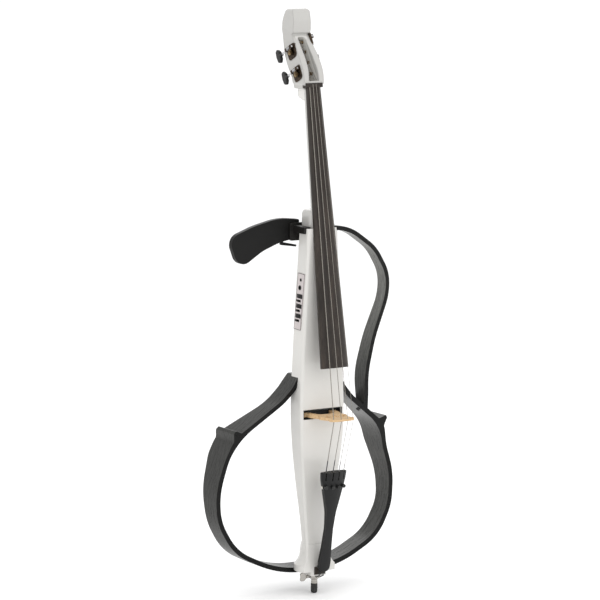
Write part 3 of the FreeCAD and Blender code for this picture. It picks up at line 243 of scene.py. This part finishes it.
def maple():
    """Bare maple: pale amber with short dark flecks and faint cross figure."""
    m = Nodes("maple", Specular_IOR_Level=0.35, Subsurface_Weight=0.05,
              Subsurface_Radius=(.002, .001, .0005))
    grain = m.noise(190.0, 7.0, m.stretched((0.10, 1.0, 1.0)), 0.62, 0.5)
    flecks = m.noise(620.0, 2.0, m.stretched((0.16, 1.0, 1.0)), 0.5)
    colour = m.ramp(grain, [(0.3, (0.50, 0.315, 0.155)), (0.55, (0.64, 0.44, 0.24)),
                            (0.8, (0.73, 0.54, 0.33))])
    dark = m.spread(flecks, 0.5, 0.0, 0.30, 0.42)
    colour = m.mix(dark, colour, rgb(0.28, 0.15, 0.06))
    return m.set(Base_Color=colour, Roughness=m.spread(grain, 0.42, 0.58),
                 Normal=m.bump(grain, 0.14, 0.0002, m.rounded_edges(0.0006)))


def black_moulding(name, tone, low, high, scale=700.0, soft=0.0006):
    """Moulded black plastic or lacquer with a fine even texture, and painted highlights on its
    sharp edges.
    """
    m = Nodes(name, Specular_IOR_Level=0.3)
    speck = m.noise(scale, 3.0)
    cloud = m.noise(25.0, 3.0)
    colour = m.ramp(cloud, [(0.3, tone), (0.7, tuple(c * 1.5 for c in tone))])
    # painted highlight: the sharp edges are made lighter
    painted_edge_highlight = m.mix(m.math("MULTIPLY", m.edges(soft * 1.6), 0.3), colour, rgb(0.11, 0.11, 0.11))
    return m.set(Base_Color=painted_edge_highlight, Roughness=m.spread(speck, low, high),
                 Normal=m.bump(speck, 0.15, 0.0001, m.rounded_edges(soft)))


def metal(name, tone, low, high, stretch=(1, 1, 1), tarnish=None, soft=0.0004):
    """Turned or rolled metal: fine scratches along the work, and tarnish in patches."""
    m = Nodes(name, Metallic=1.0)
    scratch = m.noise(900.0, 4.0, m.stretched(stretch), 0.6)
    cloud = m.noise(160.0, 5.0)
    colour = m.ramp(scratch, [(0.3, tuple(c * 0.82 for c in tone)), (0.7, tone)])
    if tarnish:
        patches = m.spread(cloud, 0.0, 0.85, 0.42, 0.62)
        colour = m.mix(patches, colour, rgb(*tarnish))
        bare = m.math("MULTIPLY", m.edges(soft * 2), 0.6)
        colour = m.mix(bare, colour, rgb(*tone))
    return m.set(Base_Color=colour, Roughness=m.spread(cloud, low, high),
                 Normal=m.bump(scratch, 0.10, 0.0001, m.rounded_edges(soft)))


def wound_steel():
    """A string's flat winding: fine rings along its length."""
    m = Nodes("wound_steel", Metallic=1.0)
    rings = m.add("ShaderNodeTexWave", {"Scale": 900.0, "Distortion": 0.0, "Vector": m.place},
                  bands_direction="Z").outputs["Fac"]
    colour = m.ramp(rings, [(0.1, (0.14, 0.13, 0.115)), (0.8, (0.36, 0.335, 0.30))])
    return m.set(Base_Color=colour, Roughness=m.spread(m.noise(200.0), 0.25, 0.4),
                 Normal=m.bump(rings, 0.4, 0.00005))


def silk(name, dark, light):
    """Close turns of thread."""
    m = Nodes(name, Sheen_Weight=0.4, Sheen_Roughness=0.4)
    turns = m.add("ShaderNodeTexWave", {"Scale": 1100.0, "Distortion": 0.6, "Detail": 2.0,
                                        "Vector": m.place}, bands_direction="Z").outputs["Fac"]
    colour = m.ramp(turns, [(0.1, dark), (0.9, light)])
    return m.set(Base_Color=colour, Roughness=m.spread(turns, 0.5, 0.8),
                 Normal=m.bump(turns, 0.6, 0.0001))


def floor_material():
    """Near-white paper with a trace of its own light, which thins the contact shadow."""
    m = Nodes("floor", Specular_IOR_Level=0.2, Emission_Color=rgb(1, 1, 1),
              Emission_Strength=0.06)
    cloud = m.noise(1.2, 3.0)
    colour = m.mix(cloud, rgb(0.955, 0.955, 0.955), rgb(0.965, 0.965, 0.965))
    return m.set(Base_Color=colour, Roughness=m.spread(cloud, 0.6, 0.7))


LOOKS = {
    "pearl_white": pearl_white("pearl_white", 0.585, 0.0016),
    # the head's lacquer carries painted light inside the pegbox
    "head_white": pearl_white("head_white", 0.42, 0.0045, True),
    "rim_black": rim_black(),
    "arm_black": arm_black(),
    "ebony": ebony(),
    "maple": maple(),
    "black_plastic": black_moulding("black_plastic", (0.004, 0.004, 0.0042), 0.40, 0.52),
    "black_metal": black_moulding("black_metal", (0.010, 0.010, 0.010), 0.22, 0.34, 300.0, 0.0009),
    "nickel": metal("nickel", (0.44, 0.42, 0.39), 0.16, 0.30),
    # a lighter copy of the nickel, whose lighter tone stands in for the strong highlights on the
    # fine-tuner levers
    "lit_lever_nickel": metal("lit_lever_nickel", (0.70, 0.66, 0.58), 0.10, 0.22),
    "steel": wound_steel(),
    "machine_steel": metal("machine_steel", (0.60, 0.60, 0.61), 0.2, 0.36),
    "brass": metal("brass", (0.30, 0.215, 0.115), 0.22, 0.38, (1, 1, 1), (0.05, 0.034, 0.022)),
    "bronze": metal("bronze", (0.075, 0.053, 0.036), 0.30, 0.48, (1, 1, 1), (0.020, 0.015, 0.013)),
    "panel_silver": metal("panel_silver", (0.63, 0.58, 0.575), 0.34, 0.46, (4, 4, 0.1)),
    "bracket_black": black_moulding("bracket_black", (0.007, 0.0064, 0.0058), 0.36, 0.5, 300.0),
    "board_plastic": black_moulding("board_plastic", (0.02, 0.09, 0.05), 0.4, 0.5),
    "cell_steel": black_moulding("cell_steel", (0.06, 0.065, 0.07), 0.25, 0.35),
    "cord_nylon": black_moulding("cord_nylon", (0.012, 0.012, 0.012), 0.4, 0.55, 1500.0, 0.0002),
    "tip_rubber": black_moulding("tip_rubber", (0.018, 0.018, 0.018), 0.6, 0.75, 1100.0, 0.0008),
    "pickup_strip": black_moulding("pickup_strip", (0.006, 0.006, 0.006), 0.5, 0.6),
    "slot_lining": black_moulding("slot_lining", (0.004, 0.004, 0.004), 0.55, 0.7, 900.0, 0.0002),
    "silk_dark": silk("silk_dark", (0.008, 0.008, 0.012), (0.035, 0.03, 0.04)),
    "silk_pale": silk("silk_pale", (0.05, 0.045, 0.05), (0.19, 0.17, 0.17)),
}


def paint(obj, material):
    obj.data.materials.clear()
    obj.data.materials.append(material)


# looks of nodes that differ from their slot's, by the start of the node's name
OWN_LOOKS = {
    "arm_bracket": "bracket_black",
    "fine_tuner_lever": "lit_lever_nickel",
    "neck_head": "head_white",
    "rim_screws": "slot_lining",
    "tuner_worm": "machine_steel",
}


def paint_nodes():
    """Every CAD node takes its slot's material, or its own look."""
    slots = {s["node"]: s["material_slot"] for s in frame["record"]["subparts"]}
    for name, obj in nodes.items():
        look = slots[name]
        for start, own in OWN_LOOKS.items():
            if name.startswith(start):
                look = own
        paint(obj, LOOKS[look])


paint_nodes()


# ---------------------------------------------------------------- added pieces
def piece(name, points, faces, look, body="root", smooth=True):
    """A mesh piece in the row frame that rides on a body."""
    mesh = bpy.data.meshes.new(name)
    mesh.from_pydata([tuple(p) for p in points], [], faces)
    mesh.update()
    build = bmesh.new()
    build.from_mesh(mesh)
    bmesh.ops.recalc_face_normals(build, faces=build.faces)
    build.to_mesh(mesh)
    build.free()
    if smooth:
        mesh.shade_smooth()
    obj = bpy.data.objects.new(name, mesh)
    bpy.context.scene.collection.objects.link(obj)
    paint(obj, LOOKS[look])
    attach(obj, body)


def tube(path, radii, sides=12):
    """Points and faces of a capped round tube along a path, with a radius at each point."""
    points, faces = [], []
    side = None
    for i, here in enumerate(path):
        way = (path[min(i + 1, len(path) - 1)] - path[max(i - 1, 0)]).normalized()
        if side is None:
            side = way.orthogonal().normalized()
        side = (side - way * side.dot(way)).normalized()
        up = way.cross(side)
        for k in range(sides):
            turn = 2 * math.pi * k / sides
            points.append(here + (side * math.cos(turn) + up * math.sin(turn)) * radii[i])
    for i in range(len(path) - 1):
        for k in range(sides):
            a, b = i * sides + k, i * sides + (k + 1) % sides
            faces.append((a, b, b + sides, a + sides))
    faces.append(tuple(range(sides)))
    faces.append(tuple(range(len(points) - sides, len(points))))
    return points, faces


def turned_frame(origin, *turns):
    """A frame from its origin in millimetres and its turns as (axis, degrees)."""
    made = Matrix.Translation(Vector(origin) * MM)
    for axis, degrees in turns:
        made = made @ Matrix.Rotation(math.radians(degrees), 4, axis)
    return made


# the frames of the pegbox, the tailpiece, the neck and the control panel, as in the CAD
PEG = turned_frame(PEG_PLACE, ("X", PEG_LEAN))
TAIL = turned_frame((0, -78, 268), ("X", TAIL_LEAN))
NECK = turned_frame((0, 22, 1059.5), ("X", NECK_LEAN))
SIDE_LEAN = 2.775
PANEL = turned_frame((-37.05 - 151.5 * math.tan(math.radians(SIDE_LEAN)), 0.2, 618.5),
                     ("Y", SIDE_LEAN), ("X", 2.6))
STRING_RADIUS = {"c": 0.85, "g": 0.68, "d": 0.52, "a": 0.4}
POST_RISE = {"c": 26, "g": 75, "d": 97, "a": 51}
POST_RADIUS, POST_DEPTH, POST_TURNS = 3.5, 14, 3
NUT_GAP, BRIDGE_GAP, TAIL_GAP = 7.7, 16, 14.5
BRIDGE_RADIUS, TAIL_RADIUS = 65, 55
STRING_LENGTH = 690
SILK_REACH = {"c": 34, "g": 36, "d": 30, "a": 26}


def at(frame_matrix, x, y, z):
    """A point given in millimetres in one of the frames."""
    return frame_matrix @ (Vector((x, y, z)) * MM)


def windings():
    """The turns of each string round its post, beside the place where the string meets it."""
    steps = 24
    for i, name in enumerate(STRINGS):
        radius = STRING_RADIUS[name]
        reach = POST_RADIUS + radius + 0.36
        start = (i - 1.5) * NUT_GAP * 0.45
        inward = 1 if start < 0 else -1
        path = []
        for k in range(POST_TURNS * steps + 1):
            turn = 2 * math.pi * k / steps
            along = 2 * radius + 0.3 + (turn / (2 * math.pi)) * (2 * radius + 0.12)
            x = start + inward * along
            path.append(at(PEG, x, POST_DEPTH - reach * math.cos(turn),
                           POST_RISE[name] + reach * math.sin(turn)))
        points, faces = tube(path, [radius * MM] * len(path), 8)
        look = "silk_dark" if name in "cg" else "steel"
        piece("winding_" + name, points, faces, look, "post_" + name)


def string_ends(name):
    """A string's centre line at the bridge and where it enters the tailpiece."""
    place = STRINGS.index(name) - 1.5
    x, tail_x = place * BRIDGE_GAP, place * TAIL_GAP
    depth = BRIDGE_RADIUS - math.sqrt(BRIDGE_RADIUS ** 2 - x ** 2) - 2.3
    front = TAIL_RADIUS - math.sqrt(TAIL_RADIUS ** 2 - tail_x ** 2)
    return at(NECK, x, depth, -STRING_LENGTH), at(TAIL, tail_x, front + 3.6, -7.5)


def silk_wraps():
    """The thread wrapped round each string above the tailpiece, tapered at its end."""
    for name, reach in SILK_REACH.items():
        bridge, tail = string_ends(name)
        way = (bridge - tail).normalized()
        radius = (STRING_RADIUS[name] + 0.24) * MM
        steps = [11] + [12 + (reach - 12) * k / 10 for k in range(11)] + [reach + 1.5]
        path = [tail + way * step * MM for step in steps]
        radii = [radius * 0.85] + [radius] * 11 + [STRING_RADIUS[name] * 1.02 * MM]
        points, faces = tube(path, radii, 14)
        look = "silk_dark" if name in "cg" else "silk_pale"
        piece("silk_" + name, points, faces, look)


def frame_strip(matrix, wide, tall, width, low, high, plane):
    """A flat rectangular ring: half sizes outside, strip width, and two levels."""
    points, faces = [], []
    for level in (low, high):
        for a, b in ((wide, tall), (wide - width, tall - width)):
            for u, v in ((-a, -b), (a, -b), (a, b), (-a, b)):
                points.append(at(matrix, *plane(u, v, level)))
    for k in range(4):
        n = (k + 1) % 4
        faces += [(k, n, 4 + n, 4 + k), (8 + k, 12 + k, 12 + n, 8 + n),
                  (k, 8 + k, 8 + n, n), (4 + k, 4 + n, 12 + n, 12 + k)]
    return points, faces


def slot_lining():
    """The black lining of the bridge's slot in the body."""
    middle = turned_frame((0, 0, 385))
    points, faces = frame_strip(middle, 47.9, 9.9, 1.5, -23.2, -5.05,
                                lambda u, v, y: (u, y, v))
    piece("slot_lining", points, faces, "slot_lining", smooth=False)


def panel_edging():
    """The thin dark line round the control panel."""
    points, faces = frame_strip(PANEL, 12.4, 58.4, 0.9, -1.66, -1.56,
                                lambda u, v, x: (x, u, v))
    piece("panel_edging", points, faces, "black_plastic", smooth=False)


windings()
silk_wraps()
slot_lining()
panel_edging()


# ---------------------------------------------------------------- stage
def stage():
    mesh = bpy.data.meshes.new("floor")
    half = 300.0
    mesh.from_pydata([(-half, -half, 0), (half, -half, 0), (half, half, 0), (-half, half, 0)],
                     [], [(0, 1, 2, 3)])
    floor = bpy.data.objects.new("floor", mesh)
    bpy.context.scene.collection.objects.link(floor)
    paint(floor, floor_material())
    world = bpy.data.worlds.new("studio")
    world.use_nodes = True
    world.node_tree.nodes["Background"].inputs["Color"].default_value = (1, 1, 1, 1)
    world.node_tree.nodes["Background"].inputs["Strength"].default_value = 1.07
    bpy.context.scene.world = world


def softbox(name, place, target, size, power):
    light = bpy.data.lights.new(name, "AREA")
    light.shape = "RECTANGLE"
    light.size, light.size_y = size
    light.energy = power
    obj = bpy.data.objects.new(name, light)
    bpy.context.scene.collection.objects.link(obj)
    obj.location = place
    aim = Vector(target) - Vector(place)
    obj.rotation_euler = aim.to_track_quat("-Z", "Y").to_euler()


def lights():
    middle = (0, 0, 0.65)
    softbox("key", (0.7, -4.6, 2.7), (0, 0, 0.45), (3.6, 3.4), 42)
    softbox("fill", (-3.6, -1.6, 1.8), middle, (1.4, 2.2), 7)
    softbox("back", (1.2, 3.0, 2.4), middle, (2.2, 1.6), 14)
    softbox("top", (0, -0.3, 3.4), middle, (2.4, 2.4), 10)


stage()
lights()


# ---------------------------------------------------------------- camera
def camera(place, yaw, pitch, roll, lens):
    """A camera whose heading, tilt and roll are in degrees; its lens suits a 36 mm sensor."""
    cam = bpy.data.cameras.new("camera")
    cam.sensor_width = 36
    cam.lens = lens
    cam.clip_end = 100
    obj = bpy.data.objects.new("camera", cam)
    bpy.context.scene.collection.objects.link(obj)
    heading = Matrix.Rotation(-math.radians(yaw), 4, "Z")
    tilt = Matrix.Rotation(math.radians(90 + pitch), 4, "X")
    obj.matrix_world = (Matrix.Translation(place) @ heading @ tilt
                        @ Matrix.Rotation(math.radians(roll), 4, "Z"))
    bpy.context.scene.camera = obj


camera((-3.560, -5.282, 1.535), 33.65, -8.19, 0.68, 187.08)
bpy.context.scene.view_settings.view_transform = "Standard"
